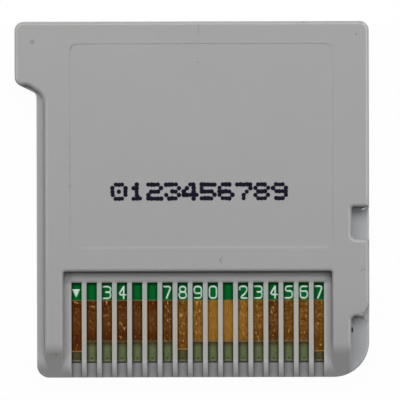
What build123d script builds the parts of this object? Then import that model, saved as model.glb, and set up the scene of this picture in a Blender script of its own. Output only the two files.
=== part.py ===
from build123d import *
import os

# Card-type game cartridge: two welded shells round a circuit board with 17 edge contacts.
# Sizes are millimetres. The card lies on its label side: +Z leaves the contact side, +Y points
# to the grip end and -Y to the contact edge. The origin is the middle of the box's underside.

# Contact comb and the sunk window that it stands in
contact_count = 17
contact_pitch = 1.5
slot_width = 1.0
window_side = 0.78
window_length = 10.45
window_corner = 0.25
shelf_width = 1.05
ramp_drop = 0.35

# Card outline
left_border = 2.65
right_border = 3.7
upper_length = 24.8
card_corner = 0.9
contact_left_corner = 1.2
contact_right_corner = 3.55
tab_reach = 2.15
tab_length = 6.05
tab_slope_drop = 1.06
tab_shoulder_round = 0.6

# Stack of levels from the label side up to the contact side
front_floor = 0.7
chip_gap = 0.1
rom_height = 0.9
board_thickness = 0.7
pad_thickness = 0.05
web_thickness = 0.3
window_depth = 1.05
rim_rise = 0.1

# Contact side of the rear shell
edge_round = 0.36
bevel_length = 2.82
bevel_depth = 1.62
bevel_blend = 2.0
ledge_width = 0.78
ledge_depth = 0.84
ledge_shoulder_drop = 1.0
ledge_shoulder_round = 1.6
ledge_start_round = 0.4
ledge_start_reach = 1.27
ledge_start_drop = 0.2
notch_reach = 1.75
notch_length = 3.17
notch_offset = 13.68
notch_upper_round = 0.25
notch_lower_round = 0.45
relief_reach = 1.79
relief_length = 6.02
relief_corner = 0.45
relief_ramp_run = 0.65
relief_ramp_rise = 1.33
relief_ramp_round = 0.5
relief_wedge_start = 0.55
relief_wedge_reach = 0.5
relief_wedge_root = 0.3
relief_wedge_tip = 0.05
panel_left_margin = 3.3
panel_right_margin = 3.55
panel_upper_margin = 2.2
panel_offset = 12.9
panel_corner = 0.7
panel_depth = 0.05

# Front shell
face_round = 0.45
seam_round = 0.2
land_depth = 1.5
label_margin = 1.6
label_offset = 5.5
label_corner = 1.0
label_depth = 0.15
lip_width = 0.45
lip_clearance = 0.05
lip_gap = 0.1
vent_length = 0.5
vent_width = 0.7
vent_depth = 1.1
vent_drop = 1.1
vent_opening = 0.13

# Circuit board, its seat and its contact pads
board_side = 0.22
board_clearance = 0.08
board_corner = 0.3
board_edge_bevel = 0.12
end_wall = 1.48
grip_wall = 1.9
boss_diameter = 2.4
peg_diameter = 1.2
peg_inset = 1.7
peg_rise = 0.45
peg_clearance = 0.1
support_width = 0.8
support_inset = 0.8
support_every = 4
pad_overlap = 0.05
mask_reach = 1.78
pad_under_mask = 0.1
pad_setback = 1.94
long_pad_setback = 0.99
middle_pad_setback = 1.19
long_pads = (1, contact_count)
middle_pad = (contact_count - 1) // 2

# Chips and small components on the board's underside
part_clearance = 0.4
chip_standoff = 0.1
chip_draft = 8.0
chip_mark_diameter = 0.9
chip_mark_depth = 0.05
lead_thickness = 0.12
lead_foot = 0.5
rom_length = 18.4
rom_width = 10.16
rom_lead_reach = 0.8
rom_lead_pitch = 0.8
rom_lead_width = 0.35
rom_lead_end = 0.8
save_length = 3.0
save_width = 4.4
save_lead_reach = 1.0
save_height = 0.85
save_lead_pitch = 0.65
save_lead_width = 0.25
save_lead_end = 0.5
component_length = 1.6
component_width = 0.8
capacitor_height = 0.75
resistor_height = 0.45
terminal_length = 0.3
terminal_rise = 0.03
component_gap = 0.8
capacitor_count = 3
resistor_count = 2

# Tools that cut past a face reach this far beyond it
overcut = 1.0

# Plan lines, worked out from the sizes above
window_width = (contact_count - 1) * contact_pitch + slot_width + 2 * window_side
body_width = left_border + window_width + right_border
body_length = window_length + upper_length
tab_left = -(tab_reach + body_width) / 2
body_left = tab_left + tab_reach
body_right = body_left + body_width
contact_edge = -body_length / 2
grip_edge = body_length / 2
tab_low = grip_edge - tab_length
window_left = body_left + left_border
window_right = window_left + window_width
window_top = contact_edge + window_length
slot_top = window_top - shelf_width
comb_middle = (window_left + window_right) / 2
board_left = window_left - board_side
board_right = window_right + board_side
board_low = contact_edge + end_wall + board_clearance
board_high = grip_edge - grip_wall
ledge_wall = body_left + ledge_width
relief_wall = body_right - relief_reach
relief_top = contact_edge + relief_length
bevel_slope = bevel_depth / bevel_length
rom_span = rom_width + 2 * rom_lead_reach
save_span = save_width + 2 * save_lead_reach

# Levels, worked out from the stack
board_under = front_floor + chip_gap + rom_height
board_top = board_under + board_thickness
pocket_ceiling = board_top + pad_thickness
shelf_level = pocket_ceiling + web_thickness
card_thickness = shelf_level + window_depth
ledge_level = card_thickness - ledge_depth
seam_level = board_under + rim_rise
land_level = card_thickness - land_depth
lip_top = pocket_ceiling - lip_gap


def rounded_polygon(*corners):
    """Face inside corners given as (x, y, radius), listed anticlockwise."""
    points = [(x, y) for x, y, _ in corners]
    radii = [radius for _, _, radius in corners]
    return make_face(FilletPolyline(*points, radius=radii, close=True))


def rectangle(left, low, right, high, radius=0):
    """Face between two sides and two ends, with all corners alike."""
    corners = ((left, low), (right, low), (right, high), (left, high))
    return rounded_polygon(*((x, y, radius) for x, y in corners))


def prism(face, low, high):
    """Upright solid over a face, from one level to another."""
    return extrude(Pos(0, 0, low) * face, high - low)


def post(x, y, diameter, low, high):
    """Upright round post at (x, y), from one level to another."""
    return Pos(x, y, (low + high) / 2) * Cylinder(diameter / 2, high - low)


def contact_x(number):
    """Middle line of contact 1 to contact_count."""
    return comb_middle + (number - (contact_count + 1) / 2) * contact_pitch


def peg_places():
    """The two pegs' centres, in the grip-end corners of the board."""
    y = board_high - peg_inset
    return ((board_left + peg_inset, y), (board_right - peg_inset, y))


def board_room(gap):
    """Board's outline let out by a gap on every side."""
    return rectangle(board_left - gap, board_low - gap, board_right + gap, board_high + gap)


def lip_room(gap):
    """Outside of the lip that stands round three sides of the board, let out by a gap."""
    reach = board_clearance + lip_width + gap
    low = contact_edge + end_wall + lip_clearance - gap
    return rectangle(board_left - reach, low, board_right + reach, board_high + reach)


def card_outline():
    """Silhouette of the card, with the grip tab at its upper left."""
    return rounded_polygon(
        (tab_left, grip_edge, card_corner),
        (tab_left, tab_low, card_corner),
        (body_left, tab_low - tab_slope_drop, tab_shoulder_round),
        (body_left, contact_edge, contact_left_corner),
        (body_right, contact_edge, contact_right_corner),
        (body_right, grip_edge, card_corner),
    )


def ledge_outline():
    """Lower ledge down the left side, starting under the tab's slope."""
    start_x = tab_left + ledge_start_reach
    start_y = tab_low - ledge_start_drop
    shoulder_y = start_y - ledge_shoulder_drop
    outside = tab_left - overcut
    beyond = contact_edge - overcut
    return rounded_polygon(
        (outside, beyond, 0),
        (ledge_wall, beyond, 0),
        (ledge_wall, shoulder_y, ledge_shoulder_round),
        (start_x, start_y, ledge_start_round),
        (outside, start_y, 0),
    )


def notch_outline():
    """Latch notch in the right side."""
    wall = body_right - notch_reach
    outside = body_right + overcut
    low = contact_edge + notch_offset
    high = low + notch_length
    return rounded_polygon(
        (wall, high, notch_upper_round),
        (wall, low, notch_lower_round),
        (outside, low, 0),
        (outside, high, 0),
    )


def relief_outline():
    """Relief at the lower right corner, with a ramp up to the card's side."""
    outside = body_right + overcut
    beyond = contact_edge - overcut
    ramp_end = relief_top + relief_ramp_rise * (1 + overcut / relief_ramp_run)
    return rounded_polygon(
        (relief_wall, relief_top, relief_corner),
        (relief_wall, beyond, 0),
        (outside, beyond, 0),
        (outside, ramp_end, 0),
        (body_right - relief_ramp_run, relief_top, relief_ramp_round),
    )


def window_outline():
    """Sunk contact window, open at the contact edge."""
    return rounded_polygon(
        (window_left, window_top, window_corner),
        (window_left, contact_edge - overcut, 0),
        (window_right, contact_edge - overcut, 0),
        (window_right, window_top, window_corner),
    )


def panel_outline():
    """Faint sunk panel on the contact side."""
    left = body_left + panel_left_margin
    right = body_right - panel_right_margin
    low = contact_edge + panel_offset
    return rectangle(left, low, right, grip_edge - panel_upper_margin, panel_corner)


def label_outline():
    """Bare label recess on the label side."""
    left = body_left + label_margin
    right = body_right - label_margin
    low = contact_edge + label_offset
    return rectangle(left, low, right, grip_edge - label_margin, label_corner)


def crown(level):
    """All that lies under a flat surface at a level and under the lead-in bevel, blended where they meet."""
    beyond = contact_edge - overcut
    bevel_end = card_thickness - bevel_depth - bevel_slope * overcut
    meeting = contact_edge + bevel_length - (card_thickness - level) / bevel_slope
    profile = rounded_polygon(
        (beyond, 0, 0),
        (grip_edge + overcut, 0, 0),
        (grip_edge + overcut, level, 0),
        (meeting, level, bevel_blend),
        (beyond, bevel_end, 0),
    )
    side = Plane.YZ.offset(tab_left - overcut)
    return extrude(side * profile, body_right - tab_left + 2 * overcut)


def crown_rim(shell):
    """Edges that bound the shell's upper surface, short of the contact edge."""
    upper_faces = [face for face in shell.faces() if face.normal_at().Z > 0.5]
    edges = [edge for face in upper_faces for edge in face.edges()]
    return [edge for edge in edges if edges.count(edge) == 1 and edge.center().Y > contact_edge]


def comb_slot(number):
    """Cut for one contact slot, with a ramp over the end wall."""
    wall = contact_edge + end_wall
    beyond = contact_edge - overcut
    ramp_slope = ramp_drop / end_wall
    clear = card_thickness + overcut
    profile = rounded_polygon(
        (slot_top, clear, 0),
        (beyond, clear, 0),
        (beyond, board_top - ramp_slope * (wall - beyond), 0),
        (wall, board_top, 0),
        (slot_top, board_top, 0),
    )
    side = Plane.YZ.offset(contact_x(number) - slot_width / 2)
    return extrude(side * profile, slot_width)


def relief_wedge():
    """Slope that climbs from the land to the rim where the relief's ramp reaches the card's side."""
    foot_start = relief_wall + relief_wedge_start
    foot_end = relief_top - relief_wedge_reach
    ramp_end = relief_top + relief_ramp_rise
    rim = card_thickness - edge_round
    base = rounded_polygon(
        (foot_start, relief_top, 0),
        (body_right, foot_end, 0),
        (body_right, ramp_end, 0),
        (body_right - relief_wedge_root, ramp_end, 0),
    )
    foot = Vector(foot_start, relief_top, land_level + relief_wedge_tip)
    along = Vector(body_right, foot_end, land_level + relief_wedge_tip) - foot
    climb = Vector(body_right, ramp_end, rim) - foot
    slope = Plane(origin=foot, x_dir=along, z_dir=along.cross(climb))
    return split(prism(base, land_level, rim), slope, keep=Keep.BOTTOM)


def rear_shell():
    """Contact-side half: rounded shell, lower ledge, comb web, slots and the board's pocket."""
    outline = card_outline()
    overlong_end = rectangle(
        body_left, contact_edge - overcut, body_right, contact_edge + contact_right_corner
    )
    shell = prism(outline + overlong_end, 0, card_thickness) & crown(card_thickness)
    for opening in (ledge_outline(), notch_outline(), relief_outline(), window_outline()):
        shell -= prism(opening, 0, card_thickness + overcut)
    shell = fillet(crown_rim(shell), edge_round)
    shell &= prism(outline, seam_level, card_thickness)

    ledge = outline & rectangle(tab_left, contact_edge, ledge_wall + edge_round, grip_edge)
    web = outline & rectangle(
        window_left - edge_round, contact_edge, window_right + edge_round, window_top + edge_round
    )
    shell += prism(ledge, seam_level, ledge_level) & crown(ledge_level)
    shell += prism(web, seam_level, shelf_level) & crown(shelf_level)
    shell += relief_wedge()

    shell -= prism(lip_room(lip_clearance), 0, pocket_ceiling)
    for number in range(1, contact_count + 1):
        shell -= comb_slot(number)
    for x, y in peg_places():
        socket_top = board_top + peg_rise + peg_clearance
        shell -= post(x, y, peg_diameter + peg_clearance, board_top, socket_top)
    shell -= prism(panel_outline(), card_thickness - panel_depth, card_thickness + overcut)
    return shell


def lip():
    """Upstanding lip round three sides of the board, which the rear shell closes over."""
    room = lip_room(0) - board_room(board_clearance)
    return prism(room, seam_level, lip_top)


def board_supports():
    """Ribs on the front shell's floor that back the board up behind its contacts."""
    half = support_width / 2
    low = board_low + support_inset
    middle = (contact_count + 1) // 2
    reach = (contact_count - 1) // 2 // support_every * support_every
    places = [contact_x(n) for n in range(middle - reach, middle + reach + 1, support_every)]
    return [
        prism(rectangle(x - half, low, x + half, slot_top), front_floor, board_under)
        for x in places
    ]


def vent_slot():
    """Small slot in the front shell's land, showing at the foot of the relief's wall."""
    right = relief_wall + vent_opening
    high = relief_top - vent_drop
    face = rectangle(right - vent_width, high - vent_length, right, high)
    return prism(face, land_level - vent_depth, land_level + overcut)


def front_block(level):
    """Solid block in the card's outline up to a level, with both rims rounded."""
    block = prism(card_outline(), 0, level)
    block = fillet(block.faces().sort_by(Axis.Z)[0].edges(), face_round)
    return fillet(block.faces().sort_by(Axis.Z)[-1].edges(), seam_round)


def front_shell():
    """Label-side half: tray with a lip, lands, board supports, two pegs and a bare label recess."""
    tray = front_block(seam_level)
    for opening in (notch_outline(), relief_outline()):
        tray += front_block(land_level) & prism(opening, front_floor, card_thickness)
    tray -= prism(board_room(board_clearance), front_floor, seam_level + overcut)
    tray += lip()
    for support in board_supports():
        tray += support
    for x, y in peg_places():
        tray += post(x, y, boss_diameter, front_floor, board_under)
        tray += post(x, y, peg_diameter, board_under, board_top + peg_rise)
    tray -= prism(label_outline(), -overcut, label_depth)
    tray -= vent_slot()
    return tray


def circuit_board():
    """Board with two peg holes and a bevelled contact edge."""
    outline = rectangle(board_left, board_low, board_right, board_high, board_corner)
    board = prism(outline, board_under, board_top)
    board = chamfer(board.faces().sort_by(Axis.Y)[0].edges().filter_by(Axis.X), board_edge_bevel)
    for x, y in peg_places():
        board -= post(x, y, peg_diameter + peg_clearance, 0, card_thickness)
    return board


def contact_pad(number):
    """One flat contact pad; the two outer ones and one near the middle run further down."""
    setback = pad_setback
    if number in long_pads:
        setback = long_pad_setback
    if number == middle_pad:
        setback = middle_pad_setback
    half = slot_width / 2 + pad_overlap
    x = contact_x(number)
    high = slot_top - mask_reach + pad_under_mask
    return prism(rectangle(x - half, board_low + setback, x + half, high), board_top, pocket_ceiling)


def chip_body(length, width, height):
    """Moulded chip body standing off its seat, drafted both ways from its middle, with a corner mark."""
    half = (height - chip_standoff) / 2
    middle = Pos(0, 0, chip_standoff + half) * Rectangle(length, width)
    body = extrude(middle, half, taper=chip_draft) + extrude(middle, -half, taper=chip_draft)
    x = -length / 2 + chip_mark_diameter
    y = -width / 2 + chip_mark_diameter
    return body - post(x, y, chip_mark_diameter, height - chip_mark_depth, height + overcut)


def chip_leads(length, width, span, height, pitch, lead_width, lead_end):
    """Two rows of gull-wing leads from the body's middle down to the seat."""
    body_side = width / 2
    tip = span / 2
    riser = tip - lead_foot
    shoulder = (height + chip_standoff) / 2 + lead_thickness / 2
    profile = rounded_polygon(
        (body_side, shoulder, 0),
        (body_side, shoulder - lead_thickness, 0),
        (riser - lead_thickness, shoulder - lead_thickness, 0),
        (riser - lead_thickness, 0, 0),
        (tip, 0, 0),
        (tip, lead_thickness, 0),
        (riser, lead_thickness, 0),
        (riser, shoulder, 0),
    )
    lead = extrude(Plane.YZ.offset(-lead_width / 2) * profile, lead_width)
    steps = int((length - 2 * lead_end) / pitch)
    row = [Pos((step - steps / 2) * pitch, 0, 0) * lead for step in range(steps + 1)]
    return Compound(row + [Rot(0, 0, 180) * lead for lead in row])


def component(height):
    """Ceramic block with a slightly larger terminal on each end."""
    block_height = height - terminal_rise
    block = Box(component_length, component_width - 2 * terminal_rise, block_height)
    block = Pos(0, 0, block_height / 2) * block
    for side in (-1, 1):
        x = side * (component_length - terminal_length) / 2
        block += Pos(x, 0, height / 2) * Box(terminal_length, component_width, height)
    return block


def under_board(x, y, shape):
    """A shape made upright on the level zero, turned over and hung under the board."""
    return Pos(x, y, board_under) * Rot(180, 0, 0) * shape


def board_parts():
    """Chips, leads and small components, by node name."""
    rom_y = board_high - peg_inset - boss_diameter / 2 - part_clearance - rom_span / 2
    row_top = rom_y - rom_span / 2 - part_clearance
    save_x = comb_middle - support_every * contact_pitch / 2
    save_y = row_top - save_span / 2
    rom_leads = chip_leads(
        rom_length, rom_width, rom_span, rom_height, rom_lead_pitch, rom_lead_width, rom_lead_end
    )
    save_leads = chip_leads(
        save_length, save_width, save_span, save_height, save_lead_pitch, save_lead_width, save_lead_end
    )
    parts = {
        "game_memory": under_board(comb_middle, rom_y, chip_body(rom_length, rom_width, rom_height)),
        "game_memory_leads": under_board(comb_middle, rom_y, rom_leads),
        "save_memory": under_board(save_x, save_y, chip_body(save_length, save_width, save_height)),
        "save_memory_leads": under_board(save_x, save_y, save_leads),
    }
    first_x = save_x + save_length / 2 + component_gap + component_length / 2
    capacitor_y = row_top - component_width / 2
    resistor_y = capacitor_y - component_width - component_gap
    step = component_length + component_gap
    for index in range(capacitor_count):
        capacitor = component(capacitor_height)
        parts[f"capacitor_{index + 1}"] = under_board(first_x + index * step, capacitor_y, capacitor)
    for index in range(resistor_count):
        resistor = component(resistor_height)
        parts[f"resistor_{index + 1}"] = under_board(first_x + index * step, resistor_y, resistor)
    return parts


def cartridge():
    """Every piece of the card, by node name."""
    parts = {
        "front_shell": front_shell(),
        "rear_shell": rear_shell(),
        "circuit_board": circuit_board(),
    }
    for number in range(1, contact_count + 1):
        parts[f"contact_pad_{number:02d}"] = contact_pad(number)
    parts.update(board_parts())
    return parts


if __name__ == "__main__":
    os.makedirs("parts", exist_ok=True)
    for name, piece in cartridge().items():
        export_step(piece, f"parts/{name}.step")
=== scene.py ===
"""Dresses the game cartridge: its finishes, its printed marks, the light and the camera.

The card lies on its label side with the contacts up. X runs to the picture's right, Y to its top
and Z to the viewer. Meshes are in metres, and the shaders read Object coordinates in millimetres.
"""

import math

import bmesh
import bpy
import numpy as np
from bpy.props import FloatProperty, FloatVectorProperty, IntProperty, PointerProperty, StringProperty
from bpy.types import Operator, Panel, PropertyGroup
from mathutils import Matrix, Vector


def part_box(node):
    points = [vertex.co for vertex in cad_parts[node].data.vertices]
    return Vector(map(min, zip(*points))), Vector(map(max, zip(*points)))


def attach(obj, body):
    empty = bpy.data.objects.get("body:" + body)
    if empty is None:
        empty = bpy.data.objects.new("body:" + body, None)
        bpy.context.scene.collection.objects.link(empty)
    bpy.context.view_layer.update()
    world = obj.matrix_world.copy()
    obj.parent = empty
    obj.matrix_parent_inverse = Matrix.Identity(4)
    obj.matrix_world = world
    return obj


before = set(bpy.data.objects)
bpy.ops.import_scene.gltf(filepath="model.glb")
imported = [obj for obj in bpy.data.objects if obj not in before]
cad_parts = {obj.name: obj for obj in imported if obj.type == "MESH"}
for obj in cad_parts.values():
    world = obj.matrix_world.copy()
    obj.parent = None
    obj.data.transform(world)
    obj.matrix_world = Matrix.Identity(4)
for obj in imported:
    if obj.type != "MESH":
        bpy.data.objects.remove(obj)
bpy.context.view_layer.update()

bl_info = {
    "name": "Game Cartridge Looks",
    "version": (1, 0, 0),
    "blender": (4, 5, 0),
    "location": "View3D > Sidebar > Cartridge",
    "description": "Finishes, printed marks, light and camera for a thin game cartridge",
    "category": "Object",
}

MM = 0.001
BODY = "root"
MERGE_DISTANCE = 1e-7        # points of a new piece that are nearer than this are one

PAD_NAMES = sorted(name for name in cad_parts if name.startswith("contact_pad_"))
COMPONENT_NAMES = sorted(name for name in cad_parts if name.startswith(("capacitor_", "resistor_")))
BOARD_LOW, BOARD_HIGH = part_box("circuit_board")
REAR_LOW, REAR_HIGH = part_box("rear_shell")
FIRST_PAD_LOW, FIRST_PAD_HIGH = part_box(PAD_NAMES[0])
LAST_PAD_LOW, LAST_PAD_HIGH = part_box(PAD_NAMES[-1])
FIRST_PAD_X = (FIRST_PAD_LOW.x + FIRST_PAD_HIGH.x) / 2
LAST_PAD_X = (LAST_PAD_LOW.x + LAST_PAD_HIGH.x) / 2
PAD_PITCH = (LAST_PAD_X - FIRST_PAD_X) / (len(PAD_NAMES) - 1)
PAD_ENDS = [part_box(name)[0].y for name in PAD_NAMES]
LONG_CONTACTS = [number for number, end in enumerate(PAD_ENDS, 1) if end < max(PAD_ENDS) - MM / 2]

# Sizes of the moulded features, in millimetres
WINDOW_LENGTH = 10.45
WINDOW_DEPTH = 1.05
WINDOW_SIDE = 0.78
SHELF_WIDTH = 1.05
SLOT_WIDTH = 1.0
BEVEL_LENGTH = 2.82
NOTCH_OFFSET = 13.68
NOTCH_LENGTH = 3.17
NOTCH_REACH = 1.75
LAND_DEPTH = 1.5
TAB_REACH = 2.15
TAB_LENGTH = 6.05
TAB_SLOPE_DROP = 1.06
LEDGE_WIDTH = 0.78
LABEL_RIM_HEIGHT = 1.0
FLASH_START_DEPTH = 0.25
FLASH_END_DEPTH = 0.18

# Places that the shaders ask for, in millimetres
FACE = REAR_HIGH.z / MM
RIB_TOP = FACE - WINDOW_DEPTH
LAND = FACE - LAND_DEPTH
SEAM = REAR_LOW.z / MM
RIGHT_SIDE = REAR_HIGH.x / MM
NOTCH_WALL = RIGHT_SIDE - NOTCH_REACH
LEDGE_WALL = REAR_LOW.x / MM + TAB_REACH + LEDGE_WIDTH
TAB_FOOT = REAR_HIGH.y / MM - TAB_LENGTH - TAB_SLOPE_DROP
CONTACT_EDGE = REAR_LOW.y / MM
BEVEL_TOP = CONTACT_EDGE + BEVEL_LENGTH
NOTCH_TOP = CONTACT_EDGE + NOTCH_OFFSET + NOTCH_LENGTH
WINDOW_TOP = CONTACT_EDGE + WINDOW_LENGTH
SLOT_TOP = WINDOW_TOP - SHELF_WIDTH
BOARD_TOP = BOARD_HIGH.z / MM
BOARD_FRONT = BOARD_LOW.y / MM
PAD_TOP = FIRST_PAD_HIGH.y / MM
PAD_END = max(PAD_ENDS) / MM
PITCH = PAD_PITCH / MM
COMB_MIDDLE = (FIRST_PAD_X + LAST_PAD_X) / 2 / MM
COMB_HALF = (LAST_PAD_X - FIRST_PAD_X) / 2 / MM
WINDOW_HALF = COMB_HALF + SLOT_WIDTH / 2 + WINDOW_SIDE
WINDOW_RIGHT = COMB_MIDDLE + WINDOW_HALF
SLOT_HALF = SLOT_WIDTH / 2 / PITCH        # in pitches


def screen_colour(red, green, blue):
    """A colour given as screen levels from 0 to 255, as the linear values that Blender works with."""
    levels = np.array((red, green, blue)) / 255
    linear = np.where(levels <= 0.04045, levels / 12.92, ((levels + 0.055) / 1.055) ** 2.4)
    return tuple(float(value) for value in linear)


def colour(name, description, red, green, blue):
    """A colour property with its default in screen levels."""
    default = screen_colour(red, green, blue)
    return FloatVectorProperty(
        name=name, description=description, subtype="COLOR", size=3, min=0, max=1, default=default
    )


def length(name, description, millimetres):
    """A length property with its default in millimetres."""
    return FloatProperty(
        name=name, description=description, default=millimetres * MM, unit="LENGTH", precision=5
    )


def angle(name, description, degrees):
    """An angle property with its default in degrees."""
    return FloatProperty(
        name=name, description=description, default=math.radians(degrees), subtype="ANGLE", unit="ROTATION"
    )


def share(name, description, default):
    """A property from 0 to 1."""
    return FloatProperty(name=name, description=description, default=default, min=0, max=1, subtype="FACTOR")


def brightness(name, description, default):
    """A property for an amount of light, where 1 shows white as white."""
    return FloatProperty(name=name, description=description, default=default, min=0)


class ShellLook(PropertyGroup):
    """Colours and surface of the two moulded shells."""

    rear: colour("Contact side", "Plastic of the shell on the contact side", 164, 164, 164)
    front: colour("Label side", "Plastic of the shell on the label side", 169, 171, 174)
    # Also the colour of the painted shade at wall feet, in the slots, in the vent and across the face
    dirt_and_shade: colour("Dirt", "Specks and grime on the plastic", 88, 86, 84)
    stain: colour("Stain", "Yellowed skin grease at the corners", 168, 163, 152)
    rubbed: colour("Rubbed", "Rubbed tops of the comb's ribs beside the contacts", 179, 172, 162)
    # Its green tint is a painted reflection of the board's lacquer
    rubbed_ends_green_reflection: colour("Rubbed ends", "Tops of the ribs beside the board's green", 161, 172, 165)
    rubbed_tips: colour("Rubbed tips", "Tops of the ribs beyond the contacts", 172, 172, 166)
    # Strength of the painted highlight on the rounded edges
    edge_highlight: share("Pale edge", "How strongly the rounded edges are rubbed pale", 0.8)
    roughness: share("Roughness", "Gloss of the matt plastic", 0.3)
    mottle: share("Mottle", "Strength of the cloudy colour variation", 0.035)
    grain_size: length("Grain size", "Size of the moulded surface grain", 0.11)
    grain_height: length("Grain height", "Height of the moulded surface grain", 0.004)
    seam_half: length("Seam half width", "Half the width of the dark line where the shells meet", 0.035)
    flash_width: length("Flash width", "Width of the sliver of moulding flash", 0.14)
    flash_thickness: length("Flash thickness", "Thickness of the sliver of moulding flash", 0.1)
    flash_sag: length("Flash sag", "How far the sliver bows from a straight line", 0.05)


class BoardLook(PropertyGroup):
    """Colours of the circuit board, its printing and its contacts."""

    mask: colour("Solder mask", "Green lacquer over the board", 0, 99, 40)
    mask_rim: colour("Mask rim", "Pale line where the lacquer ends", 88, 118, 66)
    laminate: colour("Laminate", "Bare board beyond the contacts", 103, 112, 78)
    laminate_shade: colour("Laminate shade", "Darker glass weave in the bare board", 90, 99, 68)
    laminate_edge: colour("Laminate edge", "Bevelled front edge of the board", 150, 148, 118)
    gold: colour("Gold", "Clean plating", 164, 116, 40)
    # Also the colour of the painted shade at the slots' walls on the contacts
    tarnish_and_shade: colour("Tarnish", "Browned plating", 89, 44, 13)
    scuff: colour("Scuff", "Bright wear where the reader's springs slide", 245, 188, 112)
    # Painted highlight on the outer edge of the longer contacts
    end_highlight: share("Worn end", "Brightness of the worn edge at the outer end of the longer contacts", 0.35)
    faded_end: share("Faded end", "How far the plating is gone at the outer end of the others", 0.6)
    mask_overlap: length("Mask overlap", "How far the lacquer covers the inner end of each contact", 0.1)
    stub_offset: length("Stub offset", "Way from the board's front edge to its stubs of cut plating", 0.36)
    stub_radius: length("Stub radius", "Radius of the stubs of cut plating", 0.16)
    weave_pitch: length("Weave pitch", "Spacing of the laminate's glass threads", 0.42)
    print_tone: colour("Print", "White printing on the lacquer", 205, 232, 214)
    print_height: length("Print height", "Height of the printed digits", 1.33)
    print_width: length("Print width", "Width of the printed digits", 0.9)
    print_stroke: length("Print stroke", "Width of the printed lines", 0.17)
    print_film: length("Print film", "Thickness of the printing", 0.015)
    print_gap: length("Print gap", "Room between the digits and the end of the lacquer", 0.13)
    mark_side: length("Mark side", "Side of the triangle at the first contact", 0.86)
    mark_corner: length("Mark corner", "Rounding of the triangle's corners", 0.08)
    mark_rise: share("Mark rise", "Middle of the triangle, as a share of the digits' height", 0.44)
    mark_shift: length("Mark shift", "How far the triangle stands to the left of its contact's middle", 0.06)


class ComponentLook(PropertyGroup):
    """Colours of the chips and small components inside the card."""

    resin: colour("Resin", "Moulded bodies of the chips", 26, 26, 28)
    resin_grain: colour("Resin grain", "Paler grain of the chips' bodies", 40, 40, 42)
    tin: colour("Tin", "Dull plating on the chips' legs", 176, 176, 172)
    bright_tin: colour("Bright tin", "Brighter clouds in the legs' plating", 206, 206, 202)
    terminal: colour("Terminal", "Tinned ends of the small components", 196, 196, 192)
    capacitor: colour("Capacitor", "Ceramic of the capacitors", 168, 136, 98)
    resistor: colour("Resistor", "Coating of the resistors", 32, 32, 34)
    terminal_length: length("Terminal length", "Length of the tinned ends", 0.3)


class CodeLook(PropertyGroup):
    """The ink-jet count on the back of the card."""

    ink: colour("Ink", "Dried ink", 22, 17, 36)
    digits: StringProperty(name="Digits", description="Plain digits to print", default="0123456789")
    left: length("Left", "X of the first column of dots", -7.86)
    top: length("Top", "Y of the top row of dots", 1.47)
    column_pitch: length("Column pitch", "Spacing of the dots across", 0.318)
    row_pitch: length("Row pitch", "Spacing of the dots down", 0.342)
    digit_pitch: length("Digit pitch", "Spacing of the digits", 1.764)
    dot: length("Dot", "Diameter of an ink dot", 0.46)
    film: length("Film", "Height of an ink dot over the plastic", 0.006)
    scatter: length("Scatter", "How far a dot strays from its place", 0.022)
    spread: share("Spread", "How much the dots differ in size", 0.08)
    panel_depth: length("Panel depth", "Depth of the sunk panel under the code", 0.05)
    seed: IntProperty(name="Seed", description="Start of the dots' scatter", default=7)


class StageLook(PropertyGroup):
    """Light, floor and camera."""

    key_tilt: angle("Key tilt", "Angle of the main lamp from straight above, towards the grip end", 36)
    key_level: brightness("Key level", "Light of the main lamp on a flat face", 0.38)
    top_tilt: angle("Top tilt", "Angle of the overhead lamp from straight above, towards the grip end", 8)
    top_level: brightness("Top level", "Light of the overhead lamp on a flat face", 0.13)
    side_tilt: angle("Side tilt", "Angle of the two side lamps from straight above", 50)
    side_turn: angle("Side turn", "Turn of the two side lamps from straight sideways to the grip end", 35)
    side_level: brightness("Side level", "Light of each side lamp on a flat face", 0.15)
    rim_tilt: angle("Rim tilt", "Angle of the two narrow lamps beside the card from straight above", 44)
    rim_level: brightness("Rim level", "Light of each narrow lamp on a flat face", 0.075)
    under_level: brightness("Under level", "Light on the label side, for views from below", 0.7)
    fill_level: brightness("Fill level", "Even light from all round", 0.05)
    lamp_distance: length("Lamp distance", "Distance of the lamps from the card", 360)
    lamp_height: length("Lamp height", "Height of all lamps but the narrow ones", 167)
    key_width: length("Key width", "Width of the main and overhead lamps", 386)
    side_width: length("Side width", "Width of the other lamps", 167)
    rim_height: length("Rim height", "Height of the narrow lamps beside the card", 51)
    floor: colour("Floor", "Pale floor", 200, 200, 200)
    floor_radius: length("Floor radius", "Radius of the floor", 3000)
    floor_rim: length("Floor rim", "Height to which the floor's edge sweeps up", 350)
    floor_gap: length("Floor gap", "Hair of air under the card", 0.02)
    white: brightness("White", "Light of the plain white that the camera sees as the floor", 1.02)
    glow: share("Glow", "Share of the floor's picture that is plain white and takes no shadow", 0.95)
    lens: FloatProperty(name="Lens", description="Focal length of the camera in millimetres", default=800)
    picture_width: length("Picture width", "Width of the picture at the card's face", 39.57)
    aim_x: length("Aim X", "X of the picture's middle", 0.79)
    aim_y: length("Aim Y", "Y of the picture's middle", -0.055)
    roll: angle("Roll", "Turn of the camera about its own line of sight", -0.15)


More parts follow.
